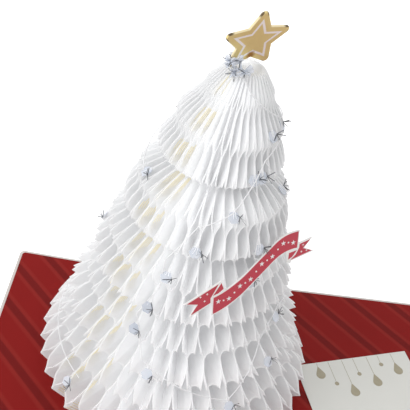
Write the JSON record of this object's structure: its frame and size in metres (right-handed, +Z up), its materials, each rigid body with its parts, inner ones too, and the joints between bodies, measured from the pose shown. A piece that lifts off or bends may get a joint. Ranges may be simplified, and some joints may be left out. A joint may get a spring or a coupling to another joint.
{
  "type": "pop up card",
  "caption": "Pop up card lying open, red striped inside, with a white honeycomb paper fir tree, gold star, red ribbon and sequin garland.",
  "frame": {"origin": "on the table, under the foot of the tree's spine", "axes": "+X along the long panel, +Y towards the card's back edge along the fold, +Z up"},
  "size_m": [0.2399, 0.1416, 0.1532],
  "materials": {
    "pale_card": "matte card",
    "red_card": "printed matte card",
    "cream_paper": "matte paper",
    "white_tissue": "crisp translucent tissue",
    "dried_glue": "dull cream glue",
    "gold_foil": "satin foil on board",
    "crimson_card": "printed satin card",
    "pearl_film": "iridescent film"
  },
  "bodies": {
    "root": {"base_card": "pale_card", "striped_liner": "red_card", "message_panel": "cream_paper", "honeycomb_tree": "white_tissue", "seam_strips": "dried_glue", "star_topper": "gold_foil", "ribbon_banner": "crimson_card", "garland_sequins": "pearl_film"}
  },
  "joints": []
}
